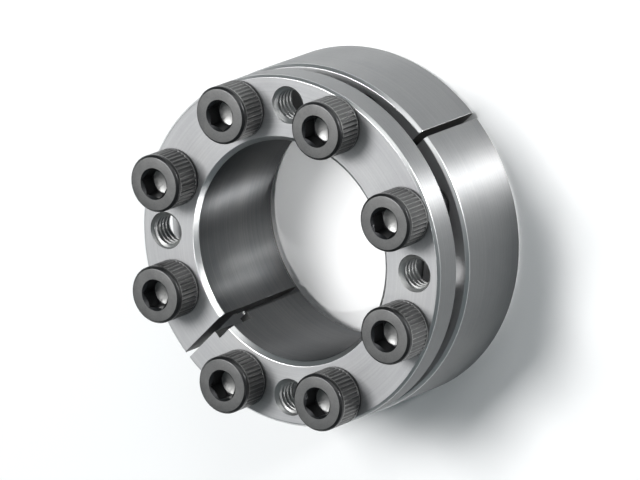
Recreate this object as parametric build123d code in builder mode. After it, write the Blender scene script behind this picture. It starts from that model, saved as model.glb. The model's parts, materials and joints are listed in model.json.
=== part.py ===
from build123d import *
import math
import os

# Keyless locking assembly: a friction clamp that fixes a hub to a plain shaft without a key.
# A slotted inner ring, tapered outside and with a collar at its front, is drawn by eight socket
# screws into a slotted outer ring with the matching taper bore. The taper presses the inner ring
# onto the shaft and the outer ring into the hub bore.
#
# Frame: millimetres, +Z along the shaft axis from the outer ring's rear face, on which the part
# stands, to the screw heads. The origin is on the axis in that rear face. The outer ring's slit
# is at +X and the inner ring's at -X.

# Shaft and ring walls, measured outward from the axis
shaft_diameter = 50.0
wedge_wall = 3.0  # inner ring's wall in the plane of the outer ring's front face
bridge_wall = 1.3  # from the wedge to the screw threads, in the same plane
rim_wall = 2.7  # from the screw threads to the hub seat

# Lengths along the axis
sleeve_length = 21.0  # outer ring, which is also the length of the hub seat
clamping_gap = 4.0  # between the outer ring and the collar before the screws are tightened
collar_thickness = 7.0
rear_setback = 3.0  # the inner ring's rear end stands this far inside the outer ring

# Taper, self-locking
taper_angle = 3.0  # degrees to the axis
taper_clearance = 0.06  # radial, before the screws are tightened

# Locking screws with hexagon socket heads, and the holes that take them
screw_count = 8
thread_diameter = 8.0
thread_pitch = 1.25
thread_clearance = 0.05  # radial, in the outer ring
hole_clearance = 0.5  # radial, in the collar
tip_setback = 7.0  # the screw's tip stands this far inside the outer ring's rear face
head_diameter = 13.0
key_width = 6.0  # across the flats of the socket
key_depth = 4.0
key_step = 25.0  # degrees that each socket is turned on from the last

# Push-off holes in the collar, threaded like the screws
push_off_count = 4

# Slits that let the rings close and spread
slit_width = 1.5
notch_width = 3.4  # widened mouth of the inner slit, for a spreading tool
notch_height = 4.4  # outward from the bore
notch_run_out = 1.0  # the notch is cut this far past the collar's back

# Edges and small forms
collar_undersize = 0.2  # radial, so that the collar can follow the outer ring into the hub
bore_chamfer = 1.0  # front of the bore, where the shaft enters
rear_bore_chamfer = 0.35
seat_chamfer = 0.7
collar_chamfer = 0.6
push_off_chamfer = 0.6
head_chamfer = 0.5

# What follows from the sizes above
shaft_radius = shaft_diameter / 2
thread_radius = thread_diameter / 2
wedge_radius = shaft_radius + wedge_wall
pitch_radius = wedge_radius + bridge_wall + thread_radius
hub_radius = pitch_radius + thread_radius + rim_wall
collar_radius = hub_radius - collar_undersize
collar_back = sleeve_length + clamping_gap
collar_front = collar_back + collar_thickness
shank_length = collar_front - tip_setback
head_height = thread_diameter
tapped_radius = (thread_diameter - thread_pitch) / 2
screw_spacing = 360 / screw_count
push_off_spacing = 360 / push_off_count
taper_slope = math.tan(math.radians(taper_angle))


def wedge_radius_at(height):
    """Outside radius of the inner ring's wedge at a height above the rear face."""
    return wedge_radius - (sleeve_length - height) * taper_slope


# Inner ring: straight bore, tapered outside and the collar, turned from one piece
with BuildPart() as inner_ring:
    with BuildSketch(Plane.XZ):
        with BuildLine():
            Polyline(
                (shaft_radius, rear_setback),
                (wedge_radius_at(rear_setback), rear_setback),
                (wedge_radius_at(collar_back), collar_back),
                (collar_radius, collar_back),
                (collar_radius, collar_front),
                (shaft_radius, collar_front),
                close=True,
            )
        make_face()
    revolve(axis=Axis.Z)
    rims = inner_ring.edges().filter_by(GeomType.CIRCLE)
    chamfer(rims.group_by(Axis.Z)[-1].sort_by(SortBy.RADIUS)[0], length=bore_chamfer)
    chamfer(rims.group_by(Axis.Z)[0].sort_by(SortBy.RADIUS)[0], length=rear_bore_chamfer)
    chamfer(rims.group_by(SortBy.RADIUS)[-1].sort_by(Axis.Z)[-1], length=collar_chamfer)

    # Clearance holes for the screws, and the threaded push-off holes midway between two screws
    with Locations(Plane.XY.offset(collar_front)):
        with PolarLocations(pitch_radius, screw_count, start_angle=screw_spacing / 2):
            Hole(thread_radius + hole_clearance, depth=collar_thickness)
        with PolarLocations(pitch_radius, push_off_count, start_angle=screw_spacing):
            CounterSinkHole(
                radius=tapped_radius,
                counter_sink_radius=tapped_radius + push_off_chamfer,
                depth=collar_thickness,
                counter_sink_angle=90,
            )

    # Saw slit through the whole ring at -X, and its widened mouth on one side of the cut
    with BuildSketch(Plane.XY.offset(rear_setback)):
        with Locations((-hub_radius / 2, 0)):
            Rectangle(hub_radius, slit_width)
    extrude(amount=collar_front - rear_setback, mode=Mode.SUBTRACT)
    with BuildSketch(Plane.XY.offset(collar_front)):
        with Locations((-shaft_radius - notch_height, slit_width / 2)):
            Rectangle(2 * notch_height, notch_width, align=(Align.MIN, Align.MAX))
    extrude(amount=-collar_thickness - notch_run_out, mode=Mode.SUBTRACT)
inner_ring.part.label = "inner_ring"

# Outer ring: straight hub seat outside, taper bore inside, and the threads for the screws
threaded_radius = thread_radius + thread_clearance
with BuildPart() as outer_ring:
    with BuildSketch(Plane.XZ):
        with BuildLine():
            Polyline(
                (wedge_radius_at(0) + taper_clearance, 0),
                (hub_radius, 0),
                (hub_radius, sleeve_length),
                (wedge_radius + taper_clearance, sleeve_length),
                close=True,
            )
        make_face()
    revolve(axis=Axis.Z)
    rims = outer_ring.edges().filter_by(GeomType.CIRCLE).sort_by(SortBy.RADIUS)
    chamfer(rims[-2:], length=seat_chamfer)
    with Locations(Plane.XY.offset(sleeve_length)):
        with PolarLocations(pitch_radius, screw_count, start_angle=screw_spacing / 2):
            Hole(threaded_radius, depth=sleeve_length)

    # Saw slit through the whole ring at +X
    with BuildSketch():
        with Locations((hub_radius / 2, 0)):
            Rectangle(hub_radius, slit_width)
    extrude(amount=sleeve_length, mode=Mode.SUBTRACT)
outer_ring.part.label = "outer_ring"


def locking_screw(number):
    """Socket head cap screw on the pitch circle, with its head seated on the collar."""
    outward = Vector(1, 0, 0).rotate(Axis.Z, (number - 0.5) * screw_spacing)
    seat = outward * pitch_radius + Vector(0, 0, collar_front)
    head_top = seat + Vector(0, 0, head_height)
    along_axis = Plane(origin=seat, x_dir=outward, z_dir=outward.rotate(Axis.Z, -90))
    with BuildPart() as screw:
        with BuildSketch(along_axis):
            with BuildLine():
                Polyline(
                    (0, -shank_length),
                    (thread_radius, -shank_length),
                    (thread_radius, 0),
                    (head_diameter / 2, 0),
                    (head_diameter / 2, head_height),
                    (0, head_height),
                    close=True,
                )
            make_face()
        revolve(axis=Axis(seat, (0, 0, 1)))
        rims = screw.edges().filter_by(GeomType.CIRCLE).sort_by(Axis.Z)
        chamfer(rims[-1], length=head_chamfer)
        with BuildSketch(Plane(origin=head_top, x_dir=outward, z_dir=(0, 0, 1))):
            RegularPolygon(key_width / 2, 6, major_radius=False, rotation=number * key_step)
        extrude(amount=-key_depth, mode=Mode.SUBTRACT)
    return screw.part


locking_screws = []
for number in range(1, screw_count + 1):
    part = locking_screw(number)
    part.label = f"screw_{number}"
    locking_screws.append(part)

os.makedirs("parts", exist_ok=True)
for part in [inner_ring.part, outer_ring.part] + locking_screws:
    export_step(part, f"parts/{part.label}.step")
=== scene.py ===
import json
import math

import bmesh
import bpy
from mathutils import Matrix, Vector


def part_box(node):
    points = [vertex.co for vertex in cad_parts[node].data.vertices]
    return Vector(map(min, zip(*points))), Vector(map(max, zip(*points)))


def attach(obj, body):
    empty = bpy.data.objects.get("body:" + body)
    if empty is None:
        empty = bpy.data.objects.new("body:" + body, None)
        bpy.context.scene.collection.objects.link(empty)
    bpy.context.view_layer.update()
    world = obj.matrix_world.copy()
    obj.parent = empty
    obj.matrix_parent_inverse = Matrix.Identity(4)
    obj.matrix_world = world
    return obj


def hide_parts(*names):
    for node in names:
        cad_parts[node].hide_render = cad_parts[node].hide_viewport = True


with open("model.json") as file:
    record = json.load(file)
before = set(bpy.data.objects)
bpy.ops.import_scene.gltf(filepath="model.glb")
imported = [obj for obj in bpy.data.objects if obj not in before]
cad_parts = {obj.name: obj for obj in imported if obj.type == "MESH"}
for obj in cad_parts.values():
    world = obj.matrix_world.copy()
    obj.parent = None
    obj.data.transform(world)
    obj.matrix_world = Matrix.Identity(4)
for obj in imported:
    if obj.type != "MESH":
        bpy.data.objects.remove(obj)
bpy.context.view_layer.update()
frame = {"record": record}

# ------------------------------------------------------------------------------------------------
# Outer ring: a sleeve of medium-carbon steel, turned on a lathe with a straight hub seat outside
# and a taper bore inside, then ground. Eight threads for the locking screws run through its wall,
# and one saw slit lets it spread in the hub. The whole clamp stands on its rear face.
mm = 0.001
mounts = {mount["name"]: mount for mount in frame["record"]["mounts"]}
hub_radius = mounts["hub_seat"]["dims"]["r_mm"] * mm
shaft_radius = mounts["shaft_bore"]["dims"]["r_mm"] * mm
pitch_radius = mounts["push_off_holes"]["dims"]["pcd_mm"] / 2 * mm
sleeve_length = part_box("outer_ring")[1].z
collar_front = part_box("inner_ring")[1].z
wedge_wall = 3 * mm
wedge_radius = shaft_radius + wedge_wall
taper_degrees = 3
taper_slope = math.tan(math.radians(taper_degrees))
taper_clearance = 0.06 * mm
seat_chamfer = 0.7 * mm
mouth_chamfer = 0.35 * mm
edge_easing = 0.14 * mm
lathe_steps = 288
overcut = 1 * mm  # how far a cutter reaches past what it cuts
on_axis = 0.000001 * mm  # a point nearer to the axis than this lies on it

thread_pitch = 1.25 * mm
nut_crest = 3.32 * mm
nut_root = 4.03 * mm
thread_steps = 48
outer_countersink = 4.45 * mm

screw_count = 8
screws = range(1, screw_count + 1)
socket_step = math.radians(25)
slit_width = 1.5 * mm
slit_easing = 0.15 * mm


def wedge_radius_at(height):
    """Radius of the taper at a height above the outer ring's rear face."""
    return wedge_radius - (sleeve_length - height) * taper_slope


def eased(outline, easing):
    """Rounds the corners of an outline with small arcs, but not its ends on the axis."""
    nearly_half = 0.45
    rounded = []
    for number, corner in enumerate(outline):
        if corner[0] < on_axis:
            rounded.append(Vector(corner))
            continue
        corner = Vector(corner)
        back = Vector(outline[number - 1]) - corner
        onward = Vector(outline[(number + 1) % len(outline)]) - corner
        reach = min(easing, nearly_half * back.length, nearly_half * onward.length)
        start = corner + back.normalized() * reach
        end = corner + onward.normalized() * reach
        for share in (0, 1 / 3, 2 / 3, 1):
            rounded.append(start.lerp(corner, share).lerp(corner.lerp(end, share), share))
    return rounded


def finished(name, mesh):
    """Makes an object of a mesh, with its faces pointing outward."""
    bmesh.ops.recalc_face_normals(mesh, faces=mesh.faces)
    data = bpy.data.meshes.new(name)
    mesh.to_mesh(data)
    mesh.free()
    piece = bpy.data.objects.new(name, data)
    bpy.context.scene.collection.objects.link(piece)
    return piece


def turned(name, outline, steps=lathe_steps):
    """Turns an outline of (radius, height) points about Z into a closed solid."""
    mesh = bmesh.new()
    rings = []
    for radius, height in outline:
        if radius < on_axis:
            rings.append([mesh.verts.new((0, 0, height))] * steps)
            continue
        angles = [math.tau * step / steps for step in range(steps)]
        rings.append([mesh.verts.new((radius * math.cos(a), radius * math.sin(a), height)) for a in angles])
    if outline[0][0] > on_axis:
        rings.append(rings[0])
    for lower, upper in zip(rings, rings[1:]):
        for step in range(steps):
            after = (step + 1) % steps
            corners = [lower[step], lower[after], upper[after], upper[step]]
            mesh.faces.new(list(dict.fromkeys(corners)))
    return finished(name, mesh)


def threaded_rod(name, crest, root, low, high):
    """A rod with a right-hand 60-degree thread, cut square at two heights.

    The crest's flat is an eighth of the pitch wide and the root's a quarter.
    """
    flats = ((-1 / 16, crest), (1 / 16, crest), (3 / 8, root), (5 / 8, root))
    spare_turns = 2
    first = math.floor(low / thread_pitch) - spare_turns
    last = math.ceil(high / thread_pitch) + spare_turns + 1
    mesh = bmesh.new()
    rows = []
    for pitch_number in range(first, last):
        for offset, radius in flats:
            row = []
            for step in range(thread_steps):
                angle = math.tau * step / thread_steps
                height = (pitch_number + offset + step / thread_steps) * thread_pitch
                row.append(mesh.verts.new((radius * math.cos(angle), radius * math.sin(angle), height)))
            rows.append(row)
    turn = len(flats)
    for number in range(len(rows) - turn - 1):
        lower = rows[number] + [rows[number + turn][0]]
        upper = rows[number + 1] + [rows[number + turn + 1][0]]
        for step in range(thread_steps):
            mesh.faces.new((lower[step], lower[step + 1], upper[step + 1], upper[step]))
    for height, side in ((low, -1), (high, 1)):
        everything = mesh.verts[:] + mesh.edges[:] + mesh.faces[:]
        parted = bmesh.ops.bisect_plane(
            mesh, geom=everything, plane_co=(0, 0, height), plane_no=(0, 0, side), clear_outer=True
        )
        rim = [edge for edge in parted["geom_cut"] if isinstance(edge, bmesh.types.BMEdge)]
        bmesh.ops.edgeloop_fill(mesh, edges=rim)
    loose = [vert for vert in mesh.verts if not vert.link_faces]
    bmesh.ops.delete(mesh, geom=loose, context="VERTS")
    return finished(name, mesh)


def block(name, low, high):
    """A square-cornered cutter between two corners."""
    mesh = bmesh.new()
    bmesh.ops.create_cube(mesh, size=1)
    for vert in mesh.verts:
        vert.co = [low[k] + (vert.co[k] + 0.5) * (high[k] - low[k]) for k in range(3)]
    return finished(name, mesh)


def worked(piece, tool, places=(Matrix.Identity(4),), operation="DIFFERENCE"):
    """Cuts a tool's shape out of a piece at every place, or joins it on, and drops the tool."""
    tools = bmesh.new()
    for place in places:
        copy = tool.data.copy()
        copy.transform(place)
        tools.from_mesh(copy)
        bpy.data.meshes.remove(copy)
    tools.to_mesh(tool.data)
    tools.free()
    change = piece.modifiers.new("change", "BOOLEAN")
    change.operation = operation
    change.solver = "MANIFOLD"
    change.object = tool
    scene_now = bpy.context.evaluated_depsgraph_get()
    result = bpy.data.meshes.new_from_object(piece.evaluated_get(scene_now))
    piece.modifiers.remove(change)
    blank, piece.data = piece.data, result
    bpy.data.meshes.remove(blank)
    bpy.data.objects.remove(tool)


def screw_angle(number):
    """Angle on the screw circle of a screw's axis, from +X."""
    return (number - 0.5) * math.tau / screw_count


def on_circle(angle, height, turn=0.0):
    """A place on the screw circle, standing upright and turned about its own axis."""
    spoke = Matrix.Rotation(angle, 4, "Z") @ Matrix.Translation((pitch_radius, 0, height))
    return spoke @ Matrix.Rotation(turn, 4, "Z")


def tapped(piece, places, low, high, mouth):
    """Cuts threads right through a piece between two heights and countersinks both their ends."""
    worked(piece, threaded_rod("tap", nut_root, nut_crest, low - overcut, high + overcut), places)
    past_crest = 0.3 * mm
    depth = mouth - nut_crest + past_crest
    bit = [(0, -overcut), (mouth + overcut, -overcut), (mouth - depth, depth), (0, depth)]
    upside_down = Matrix.Rotation(math.pi, 4, "X")
    lower = [place @ Matrix.Translation((0, 0, low)) for place in places]
    upper = [place @ Matrix.Translation((0, 0, high)) @ upside_down for place in places]
    worked(piece, turned("countersink", bit, thread_steps), lower + upper)


def ease_slit(piece, sides, easing):
    """Breaks the sharp edges that a saw or a cutter leaves along the sides of a slit."""
    tolerance = 0.002 * mm
    least_corner = math.radians(50)
    mesh = bmesh.new()
    mesh.from_mesh(piece.data)
    sharp = []
    for edge in mesh.edges:
        on_side = any(all(abs(vert.co.y - side) < tolerance for vert in edge.verts) for side in sides)
        if on_side and edge.is_convex and edge.calc_face_angle() > least_corner:
            sharp.append(edge)
    bmesh.ops.bevel(
        mesh, geom=sharp, offset=easing, segments=2, profile=0.6, affect="EDGES", clamp_overlap=True
    )
    bmesh.ops.dissolve_degenerate(mesh, dist=0.0001 * mm, edges=mesh.edges)
    mesh.to_mesh(piece.data)
    mesh.free()


def smoothed(piece):
    """Shades round surfaces smooth, flat ones flat, and keeps the edges crisp."""
    piece.data.shade_smooth()
    piece.data.set_sharp_from_angle(angle=math.radians(32))
    even = piece.modifiers.new("even shading", "WEIGHTED_NORMAL")
    even.keep_sharp = True


def add(tree, kind, inputs, **settings):
    """Adds a shader node. An input is a plain value or another node's output."""
    node = tree.nodes.new("ShaderNode" + kind)
    for name, value in settings.items():
        setattr(node, name, value)
    for name, value in inputs.items():
        if isinstance(value, bpy.types.NodeSocket):
            tree.links.new(value, node.inputs[name])
        else:
            node.inputs[name].default_value = value
    return node


def metal(name):
    """A new metal finish, with its node tree, its shader and the place on the piece."""
    finish = bpy.data.materials.new(name)
    finish.use_nodes = True
    tree = finish.node_tree
    shader = tree.nodes["Principled BSDF"]
    shader.inputs["Metallic"].default_value = 1
    return finish, tree, shader, add(tree, "TexCoord", {}).outputs["Object"]


def from_axis(tree, place):
    """How far a place on the piece is from the piece's own Z axis."""
    flat = add(tree, "VectorMath", {0: place, 1: (1, 1, 0)}, operation="MULTIPLY")
    return add(tree, "VectorMath", {0: flat.outputs["Vector"]}, operation="LENGTH").outputs["Value"]


# Nearly all of a noise lies between these two values.
noise_low = 0.3
noise_high = 0.7


def spread(tree, noise, low, high):
    """A noise value spread between two limits."""
    limits = {"Value": noise, "From Min": noise_low, "From Max": noise_high, "To Min": low, "To Max": high}
    return add(tree, "MapRange", limits).outputs["Result"]


def average(tree, first, second):
    """The mean of two values that vary over the surface."""
    total = add(tree, "Math", {0: first, 1: second}, operation="ADD")
    return add(tree, "Math", {0: total.outputs["Value"], 1: 0.5}, operation="MULTIPLY").outputs["Value"]


def toned(tree, noise, dark, light):
    """A colour that runs from dark to light with a noise value."""
    ramp = add(tree, "ValToRGB", {"Fac": noise})
    for stop, position, colour in zip(ramp.color_ramp.elements, (noise_low, noise_high), (dark, light)):
        stop.position = position
        stop.color = (*colour, 1)
    return ramp.outputs["Color"]


def steel(name, dark, light, smooth, rough, groove, depth, anisotropy=0.0):
    """Bare steel with the fine rings that a lathe or a grinder leaves round the axis.

    groove is the spacing of the rings and depth their height. anisotropy stretches the shine
    along the axis.
    """
    stain_size = 14 * mm
    speck_size = 0.5 * mm
    finish, tree, shader, place = metal(name)
    stain = add(tree, "TexNoise", {"Vector": place, "Scale": 1 / stain_size, "Detail": 4, "Roughness": 0.55})
    speck = add(tree, "TexNoise", {"Vector": place, "Scale": 1 / speck_size, "Detail": 3, "Roughness": 0.6})
    height = add(tree, "SeparateXYZ", {"Vector": place})
    ring = add(tree, "CombineXYZ", {"X": from_axis(tree, place), "Y": height.outputs["Z"]})
    drift = {0: stain.outputs["Color"], 1: (groove, groove, 0)}
    wander = add(tree, "VectorMath", drift, operation="MULTIPLY")
    path = add(tree, "VectorMath", {0: ring.outputs["Vector"], 1: wander.outputs["Vector"]}, operation="ADD")
    rings = add(tree, "TexNoise", {"Vector": path.outputs["Vector"], "Scale": 1 / groove, "Detail": 3})
    tone = average(tree, rings.outputs["Fac"], stain.outputs["Fac"])
    tree.links.new(toned(tree, tone, dark, light), shader.inputs["Base Color"])
    grain = average(tree, tone, speck.outputs["Fac"])
    tree.links.new(spread(tree, grain, smooth, rough), shader.inputs["Roughness"])
    relief = average(tree, rings.outputs["Fac"], speck.outputs["Fac"])
    bump = add(tree, "Bump", {"Height": relief, "Strength": 1.0, "Distance": depth})
    tree.links.new(bump.outputs["Normal"], shader.inputs["Normal"])
    if anisotropy:
        quarter_turn = 0.25
        shader.inputs["Anisotropic"].default_value = anisotropy
        shader.inputs["Anisotropic Rotation"].default_value = quarter_turn
        around = add(tree, "Tangent", {}, direction_type="RADIAL", axis="Z")
        tree.links.new(around.outputs["Tangent"], shader.inputs["Tangent"])
    return finish


def dressed(piece, choose):
    """Gives each face the finish that was chosen for its centre and its direction."""
    chosen = [choose(face.center, face.normal) for face in piece.data.polygons]
    finishes = list(dict.fromkeys(chosen))
    piece.data.materials.clear()
    for finish in finishes:
        piece.data.materials.append(finish)
    for face, finish in zip(piece.data.polygons, chosen):
        face.material_index = finishes.index(finish)


# The steel's colour differs by face: the turned sides are darker than the faced ends, as painted shade.
turned_steel_painted_shade = steel(
    "turned_steel_painted_shade", dark=(0.27, 0.275, 0.28), light=(0.36, 0.36, 0.36),
    smooth=0.44, rough=0.54, groove=0.35 * mm, depth=0.006 * mm, anisotropy=0.9,
)
# The bore's steel is much darker than the outside's: painted shade inside the bore.
bore_steel_painted_shade = steel(
    "bored_steel_painted_shade", dark=(0.085, 0.09, 0.095), light=(0.15, 0.15, 0.15),
    smooth=0.44, rough=0.52, groove=0.25 * mm, depth=0.004 * mm, anisotropy=1.0,
)
faced_steel = steel(
    "faced_steel", dark=(0.37, 0.37, 0.38), light=(0.49, 0.49, 0.49),
    smooth=0.54, rough=0.66, groove=0.45 * mm, depth=0.007 * mm,
)
# The edges' steel is the lightest: partly polish, partly a painted highlight on the chamfers.
edge_steel_polish_and_highlight = steel(
    "edge_steel_polish_and_painted_highlight", dark=(0.60, 0.60, 0.60), light=(0.66, 0.66, 0.66),
    smooth=0.30, rough=0.36, groove=0.22 * mm, depth=0.0004 * mm,
)
# The slit and notch walls' steel is dark: painted shade in the narrow slits and the notch.
cut_steel_painted_shade = steel(
    "sawn_steel_painted_shade", dark=(0.09, 0.09, 0.09), light=(0.16, 0.16, 0.155),
    smooth=0.45, rough=0.60, groove=0.12 * mm, depth=0.004 * mm,
)
hole_steel = steel(
    "drilled_and_tapped_steel", dark=(0.38, 0.38, 0.38), light=(0.50, 0.50, 0.49),
    smooth=0.36, rough=0.50, groove=0.12 * mm, depth=0.003 * mm,
)


def ring_finish(centre, normal):
    """Turned sides, bored insides, faced ends, lighter edges, and cut walls in holes and slits.

    The sides, and more so the bore and the slit walls, are darkened as painted shade. The edges'
    lighter colour is partly polish and partly a painted highlight.
    """
    hole_reach = 5 * mm
    half_step = math.tau / screw_count / 2
    angle = math.atan2(centre.y, centre.x) % half_step
    to_spoke = min(angle, half_step - angle)
    radius = centre.xy.length
    from_hole = math.hypot(radius * math.cos(to_spoke) - pitch_radius, radius * math.sin(to_spoke))
    faces_an_end = abs(normal.z) > 0.98
    faces_the_saw = abs(normal.y) > 0.9
    slants = abs(normal.z) > 0.15
    if faces_an_end:
        return faced_steel
    # Slit walls get the dark cut steel: painted shade in the slit.
    if faces_the_saw and abs(centre.y) < slit_width:
        return cut_steel_painted_shade
    if from_hole < hole_reach:
        return hole_steel
    if slants:
        return edge_steel_polish_and_highlight
    # Outward faces get the turned steel and inward ones the bore's darker steel, both darkened as painted
    # shade.
    return turned_steel_painted_shade if centre.xy.dot(normal.xy) > 0 else bore_steel_painted_shade


outer_ring = turned("slotted_outer_ring", eased([
    (wedge_radius_at(0) + taper_clearance + mouth_chamfer, 0),
    (hub_radius - seat_chamfer, 0),
    (hub_radius, seat_chamfer),
    (hub_radius, sleeve_length - seat_chamfer),
    (hub_radius - seat_chamfer, sleeve_length),
    (wedge_radius + taper_clearance + mouth_chamfer, sleeve_length),
    (wedge_radius_at(sleeve_length - mouth_chamfer) + taper_clearance, sleeve_length - mouth_chamfer),
    (wedge_radius_at(mouth_chamfer) + taper_clearance, mouth_chamfer),
], edge_easing))
thread_places = [on_circle(screw_angle(number), collar_front, number * socket_step) for number in screws]
tapped(outer_ring, thread_places, -collar_front, sleeve_length - collar_front, outer_countersink)
saw_low = (0, -slit_width / 2, -overcut)
saw_high = (hub_radius + overcut, slit_width / 2, sleeve_length + overcut)
worked(outer_ring, block("saw", saw_low, saw_high))
ease_slit(outer_ring, (-slit_width / 2, slit_width / 2), slit_easing)
smoothed(outer_ring)
dressed(outer_ring, ring_finish)
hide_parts("outer_ring")
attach(outer_ring, "outer_ring")

# ------------------------------------------------------------------------------------------------
# Inner ring: the wedge and its collar, turned in one piece from the same steel. The collar has
# plain holes for the locking screws and four threaded ones, midway between two screws, for
# pushing it off again. The saw slit has a widened mouth for a spreading tool.
clamping_gap = 4 * mm
collar_undersize = 0.2 * mm
collar_back = sleeve_length + clamping_gap
collar_radius = hub_radius - collar_undersize
rear_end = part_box("inner_ring")[0].z
bore_chamfer = 1.0 * mm
rear_chamfer = 0.35 * mm
collar_chamfer = 0.6 * mm
relief_width = 1.6 * mm
relief_depth = 0.5 * mm
hole_radius = 4.5 * mm
hole_easing = 0.3 * mm
push_off_holes = 4
push_off_mouth = 4.25 * mm
notch_width = 3.4 * mm
notch_height = 4.4 * mm
notch_run_out = 1.0 * mm
hair = 0.01 * mm  # less than any form here

relief_start = collar_back - relief_width
relief_radius = wedge_radius_at(relief_start) - relief_depth
inner_ring = turned("collared_inner_ring", eased([
    (shaft_radius + rear_chamfer, rear_end),
    (wedge_radius_at(rear_end) - rear_chamfer, rear_end),
    (wedge_radius_at(rear_end + rear_chamfer), rear_end + rear_chamfer),
    (wedge_radius_at(relief_start), relief_start),
    (relief_radius, relief_start + relief_depth),
    (relief_radius, collar_back),
    (collar_radius - rear_chamfer, collar_back),
    (collar_radius, collar_back + rear_chamfer),
    (collar_radius, collar_front - collar_chamfer),
    (collar_radius - collar_chamfer, collar_front),
    (shaft_radius + bore_chamfer, collar_front),
    (shaft_radius, collar_front - bore_chamfer),
    (shaft_radius, rear_end + rear_chamfer),
], edge_easing))
flare = hole_easing + overcut
drill = turned("drill", [
    (0, collar_back - overcut),
    (hole_radius + flare, collar_back - overcut),
    (hole_radius, collar_back + hole_easing),
    (hole_radius, collar_front - hole_easing),
    (hole_radius + flare, collar_front + overcut),
    (0, collar_front + overcut),
], thread_steps)
worked(inner_ring, drill, [on_circle(screw_angle(number), 0) for number in screws])
push_off_angles = [(number + 0.5) * math.tau / push_off_holes for number in range(push_off_holes)]
push_off_places = [on_circle(angle, 0) for angle in push_off_angles]
tapped(inner_ring, push_off_places, collar_back, collar_front, push_off_mouth)
saw_low = (-hub_radius - overcut, -slit_width / 2, rear_end - overcut)
saw_high = (0, slit_width / 2, collar_front + overcut)
worked(inner_ring, block("saw", saw_low, saw_high))
notch_side = slit_width / 2 - notch_width
notch_low = (-shaft_radius - notch_height, notch_side, collar_back - notch_run_out)
notch_high = (-shaft_radius + notch_height, slit_width / 2, collar_front + overcut)
worked(inner_ring, block("notch_cutter", notch_low, notch_high))
ease_slit(inner_ring, (-slit_width / 2, slit_width / 2, notch_side), slit_easing)
smoothed(inner_ring)


def collar_ring_finish(centre, normal):
    """As on the outer ring, with the walls of the milled notch cut, and darkened as painted shade, as well.
    """
    margin = 0.1 * mm
    depth = centre.xy.length - shaft_radius
    beside = notch_side - hair < centre.y < slit_width / 2 and centre.x < 0
    behind_bore = margin < depth < notch_height + margin
    below_face = collar_back - notch_run_out - margin < centre.z < collar_front - hair
    return cut_steel_painted_shade if beside and behind_bore and below_face else ring_finish(centre, normal)


dressed(inner_ring, collar_ring_finish)
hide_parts("inner_ring")
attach(inner_ring, "inner_ring")

# ------------------------------------------------------------------------------------------------
# Locking screws: eight socket head cap screws of alloy steel, cold headed with a punched hexagon
# socket, knurled round the head, thread-rolled, hardened and blackened. Each passes through the
# collar and is screwed into the outer ring.
head_radius = 6.5 * mm
head_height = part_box("screw_1")[1].z - collar_front
shank_length = collar_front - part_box("screw_1")[0].z
screw_crest = 3.98 * mm
screw_root = 3.23 * mm
neck_radius = 3.3 * mm
neck_length = 1.2 * mm
neck_fillet = 0.4 * mm
thread_run_out = 0.8 * mm
tip_chamfer = 0.9 * mm
head_chamfer = 0.5 * mm
foot_chamfer = 0.3 * mm
head_easing = 0.1 * mm
knurl_teeth = 40
knurl_steps = 4 * knurl_teeth
knurl_depth = 0.2 * mm
knurl_low = 1.1 * mm
knurl_high = 6.5 * mm
knurl_run_out = 0.3 * mm
socket_radius = 3 * mm  # to the middle of its flats
socket_depth = 4 * mm
socket_point = 1.1 * mm
socket_mouth = 3.62 * mm

join = 0.1 * mm  # how far the neck reaches into the thread
head = turned("screw_head", eased([
    (0, -neck_length - join),
    (neck_radius, -neck_length - join),
    (neck_radius, -neck_fillet),
    (neck_radius + neck_fillet, 0),
    (head_radius - foot_chamfer, 0),
    (head_radius, foot_chamfer),
    (head_radius, knurl_low - knurl_run_out),
    (head_radius, knurl_low),
    (head_radius, knurl_high),
    (head_radius, knurl_high + knurl_run_out),
    (head_radius, head_height - head_chamfer),
    (head_radius - head_chamfer, head_height),
    (0, head_height),
], head_easing), knurl_steps)
for vert in head.data.vertices:
    on_side = vert.co.xy.length > 0.9 * head_radius
    if on_side and knurl_low - hair < vert.co.z < knurl_high + hair:
        tooth = math.atan2(vert.co.y, vert.co.x) / math.tau * knurl_teeth % 1
        share = 1 - abs(2 * tooth - 1)
        vert.co.xy *= 1 - share * knurl_depth / head_radius

thread_top = -neck_length + overcut / 2
thread = threaded_rod("screw_thread", screw_crest, screw_root, -shank_length - overcut, thread_top)
envelope_radius = screw_crest + 0.1 * mm
envelope = turned("thread_envelope", [
    (0, -shank_length),
    (envelope_radius - tip_chamfer, -shank_length),
    (envelope_radius, -shank_length + tip_chamfer),
    (envelope_radius, -neck_length - thread_run_out),
    (neck_radius, -neck_length),
    (0, -neck_length),
], thread_steps)
worked(thread, envelope, operation="INTERSECT")
worked(head, thread, operation="UNION")

socket_floor = head_height - socket_depth
socket_sides = 6
socket_corner = socket_radius / math.cos(math.pi / socket_sides)
hexagon = turned("socket_punch", [
    (0, socket_floor),
    (socket_corner, socket_floor),
    (socket_corner, head_height + overcut),
    (0, head_height + overcut),
], socket_sides)
worked(head, hexagon)
point_radius = socket_radius - 0.1 * mm
point_overcut = 0.02 * mm
point = turned("socket_point", [
    (0, socket_floor - socket_point),
    (point_radius, socket_floor + point_overcut),
    (0, socket_floor + point_overcut),
], thread_steps)
worked(head, point)
mouth = turned("socket_mouth", [
    (0, head_height - overcut),
    (socket_mouth - overcut, head_height - overcut),
    (socket_mouth + overcut, head_height + overcut),
    (0, head_height + overcut),
], thread_steps)
worked(head, mouth)


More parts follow.
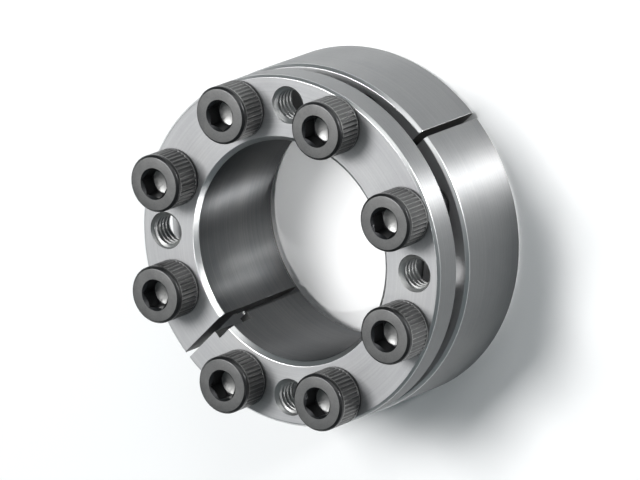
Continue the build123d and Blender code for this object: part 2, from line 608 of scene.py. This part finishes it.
def black_oxide(name, dark, light, smooth, rough, rub_and_highlight=(0, 0, 0)):
    """Blackened steel. rubbed is a grey on the knurl's crests, partly wear from handling and partly a
    painted highlight.

    Every screw has a lot number, which gives it stains and specks of its own.
    """
    stain_size = 4 * mm
    speck_size = 0.3 * mm
    speck_depth = 0.004 * mm
    rub_and_highlight_depth = 0.12 * mm
    finish, tree, shader, place = metal(name)
    lot = add(tree, "Attribute", {}, attribute_name="lot").outputs["Fac"]
    stains = {"Vector": place, "W": lot, "Scale": 1 / stain_size, "Detail": 4}
    stain = add(tree, "TexNoise", stains, noise_dimensions="4D")
    specks = {"Vector": place, "W": lot, "Scale": 1 / speck_size, "Detail": 3}
    speck = add(tree, "TexNoise", specks, noise_dimensions="4D")
    grain = average(tree, stain.outputs["Fac"], speck.outputs["Fac"])
    radius = from_axis(tree, place)
    # The knurl's crests get a lighter grey: partly wear from handling, partly a painted highlight.
    rub_and_highlight_range = {"Value": radius, "From Min": head_radius - rub_and_highlight_depth, "From Max": head_radius}
    crest = add(tree, "MapRange", rub_and_highlight_range, interpolation_type="SMOOTHSTEP")
    share = add(tree, "Math", {0: crest.outputs["Result"], 1: grain}, operation="MULTIPLY")
    oxide = toned(tree, grain, dark, light)
    wear_and_highlight = toned(tree, share.outputs["Value"], (0, 0, 0), rub_and_highlight)
    colour = add(tree, "VectorMath", {0: oxide, 1: wear_and_highlight}, operation="ADD")
    tree.links.new(colour.outputs["Vector"], shader.inputs["Base Color"])
    tree.links.new(spread(tree, grain, smooth, rough), shader.inputs["Roughness"])
    bump = add(tree, "Bump", {"Height": speck.outputs["Fac"], "Strength": 1.0, "Distance": speck_depth})
    tree.links.new(bump.outputs["Normal"], shader.inputs["Normal"])
    return finish


black_head = black_oxide(
    "black_oxide_head", dark=(0.13, 0.13, 0.13), light=(0.19, 0.188, 0.185), smooth=0.34, rough=0.48,
)
black_knurl = black_oxide(
    "black_oxide_knurl", dark=(0.085, 0.085, 0.085), light=(0.13, 0.13, 0.128),
    smooth=0.32, rough=0.46, rub_and_highlight=(0.22, 0.22, 0.215),
)
# The rims are darker than the head's top: painted shade.
black_rim_painted_shade = black_oxide(
    "black_oxide_rim_painted_shade", dark=(0.045, 0.045, 0.047), light=(0.07, 0.07, 0.07), smooth=0.32, rough=0.44,
)
# The socket walls are darker than the head's top: painted shade in the socket.
black_socket_painted_shade = black_oxide(
    "black_oxide_socket_painted_shade", dark=(0.05, 0.05, 0.055), light=(0.08, 0.08, 0.08), smooth=0.30, rough=0.45,
)
black_thread = black_oxide(
    "black_oxide_thread", dark=(0.06, 0.06, 0.065), light=(0.11, 0.11, 0.11), smooth=0.35, rough=0.50,
)
# The socket floor is lighter than the socket walls: a painted highlight at the bottom of the socket.
punched_floor_painted_highlight = black_oxide(
    "punched_socket_floor_painted_highlight", dark=(0.24, 0.24, 0.24), light=(0.34, 0.34, 0.33), smooth=0.28, rough=0.40,
)


def screw_finish(centre, normal):
    """Satin top, knurl, black thread; painted shade on rims and socket walls, a painted highlight on the
    socket floor.
    """
    radius = centre.xy.length
    on_knurl = knurl_low - knurl_run_out < centre.z < knurl_high + knurl_run_out
    faces_up = normal.z > 0.98
    if centre.z < 0:
        return black_thread
    if radius < socket_radius and centre.z < socket_floor - hair:
        return punched_floor_painted_highlight
    if radius < socket_mouth and centre.z < head_height - hair:
        return black_socket_painted_shade
    if faces_up:
        return black_head
    return black_knurl if on_knurl else black_rim_painted_shade


dressed(head, screw_finish)
for number, place in zip(screws, thread_places):
    screw = bpy.data.objects.new(f"cap_screw_{number}", head.data.copy())
    bpy.context.scene.collection.objects.link(screw)
    screw.matrix_world = place
    lot = screw.data.attributes.new("lot", "FLOAT", "POINT")
    lot.data.foreach_set("value", [float(number)] * len(screw.data.vertices))
    smoothed(screw)
    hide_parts(f"screw_{number}")
    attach(screw, f"screw_{number}")
bpy.data.objects.remove(head)

# ------------------------------------------------------------------------------------------------
# Table: one large sheet of matt white paper, laid flat under the clamp to take its shadow. It lies
# a little below the outer ring's rear face, so that the two faces don't coincide.
paper_size = 6.0
paper_drop = 0.02 * mm
half = paper_size / 2
corners = ((-half, -half), (half, -half), (half, half), (-half, half))
sheet = bmesh.new()
sheet.faces.new([sheet.verts.new((x, y, -paper_drop)) for x, y in corners])
paper = finished("white_paper", sheet)
white = bpy.data.materials.new("matt_white_paper")
white.use_nodes = True
paper_shader = white.node_tree.nodes["Principled BSDF"]
paper_shader.inputs["Base Color"].default_value = (0.93, 0.93, 0.93, 1)
paper_shader.inputs["Roughness"].default_value = 0.9
paper_shader.inputs["Specular IOR Level"].default_value = 0.1
paper.data.materials.append(white)

# ------------------------------------------------------------------------------------------------
# Lamps: soft boxes round the table, narrow beams onto the bore's wall and through the bore, and an
# even, slightly blue room. A lamp's share is how much of a white surface's plain brightness it
# gives where that surface faces it.
target = Vector((0, 0, 20 * mm))


def direction(azimuth, elevation):
    """The way to a compass angle from +X and a height angle, both in degrees."""
    turn = math.radians(azimuth)
    tilt = math.radians(elevation)
    level = math.cos(tilt)
    return Vector((level * math.cos(turn), level * math.sin(turn), math.sin(tilt)))


def hung(lamp, azimuth, elevation, distance, aim):
    """Hangs a lamp so that it shines on a point, and keeps it out of the camera's sight."""
    holder = bpy.data.objects.new(lamp.name, lamp)
    holder.location = aim + distance * direction(azimuth, elevation)
    holder.rotation_euler = (aim - holder.location).to_track_quat("-Z", "Y").to_euler()
    holder.visible_camera = False
    bpy.context.scene.collection.objects.link(holder)


def softbox(name, azimuth, elevation, distance, width, height, share):
    """A rectangular lamp that faces the clamp."""
    lamp = bpy.data.lights.new(name, "AREA")
    lamp.shape = "RECTANGLE"
    lamp.size = width
    lamp.size_y = height
    lamp.energy = share * math.pi ** 2 * distance ** 2
    hung(lamp, azimuth, elevation, distance, target)


softbox("key_softbox", azimuth=98, elevation=65, distance=1.3, width=0.5, height=0.5, share=0.99)
softbox("face_softbox", azimuth=160, elevation=55, distance=1.0, width=0.5, height=0.5, share=0.05)
softbox("side_strip", azimuth=-17, elevation=4, distance=0.9, width=0.07, height=0.08, share=0.90)
softbox("rim_softbox", azimuth=20, elevation=35, distance=2.0, width=1.2, height=0.8, share=0.14)


def narrow_beam(name, azimuth, elevation, aim, beam_radius, softness, share):
    """A lamp with a snoot, whose beam has a given radius where it lands."""
    distance = 1.2
    lamp = bpy.data.lights.new(name, "SPOT")
    lamp.energy = share * 4 * math.pi ** 2 * distance ** 2
    lamp.spot_size = 2 * math.atan(beam_radius / distance)
    lamp.spot_blend = 0.15
    lamp.shadow_soft_size = softness
    hung(lamp, azimuth, elevation, distance, aim)


def wall_beam(name, azimuth, wall_angle, height, share):
    """A narrow beam that comes in over the rim and lands on the far wall of the bore."""
    around = math.radians(wall_angle)
    aim = Vector((shaft_radius * math.cos(around), shaft_radius * math.sin(around), height))
    narrow_beam(name, azimuth, elevation=37, aim=aim, beam_radius=10 * mm, softness=6 * mm, share=share)


narrow_beam(
    "table_snoot", azimuth=-60, elevation=70, aim=Vector((0, 0, collar_front)),
    beam_radius=26 * mm, softness=20 * mm, share=0.42,
)
wall_beam("wall_snoot_1", azimuth=-90, wall_angle=124, height=19 * mm, share=0.75)
wall_beam("wall_snoot_2", azimuth=-28, wall_angle=156, height=13 * mm, share=0.42)
wall_beam("wall_snoot_3", azimuth=-12, wall_angle=164, height=20 * mm, share=0.42)

room = bpy.data.worlds.new("even_room")
room.use_nodes = True
room.node_tree.nodes["Background"].inputs["Color"].default_value = (0.78, 0.94, 1, 1)
room.node_tree.nodes["Background"].inputs["Strength"].default_value = 0.15
bpy.context.scene.world = room
bpy.context.scene.view_settings.view_transform = "Standard"

# ------------------------------------------------------------------------------------------------
# Camera: a long lens above the clamp, looking down at the collar's side of it, and rolled so that
# the clamp seems to lie on its side.
camera_azimuth = -19.85
camera_elevation = 52.57
camera_distance = 1.8413
camera_roll = math.radians(110.8)
lens = bpy.data.cameras.new("camera")
lens.lens = 468
lens.sensor_width = 36
lens.clip_end = 20
camera = bpy.data.objects.new("camera", lens)
camera.location = target + camera_distance * direction(camera_azimuth, camera_elevation)
level_view = (target - camera.location).to_track_quat("-Z", "Y").to_matrix()
camera.rotation_euler = (level_view @ Matrix.Rotation(-camera_roll, 3, "Z")).to_euler()
bpy.context.scene.collection.objects.link(camera)
bpy.context.scene.camera = camera
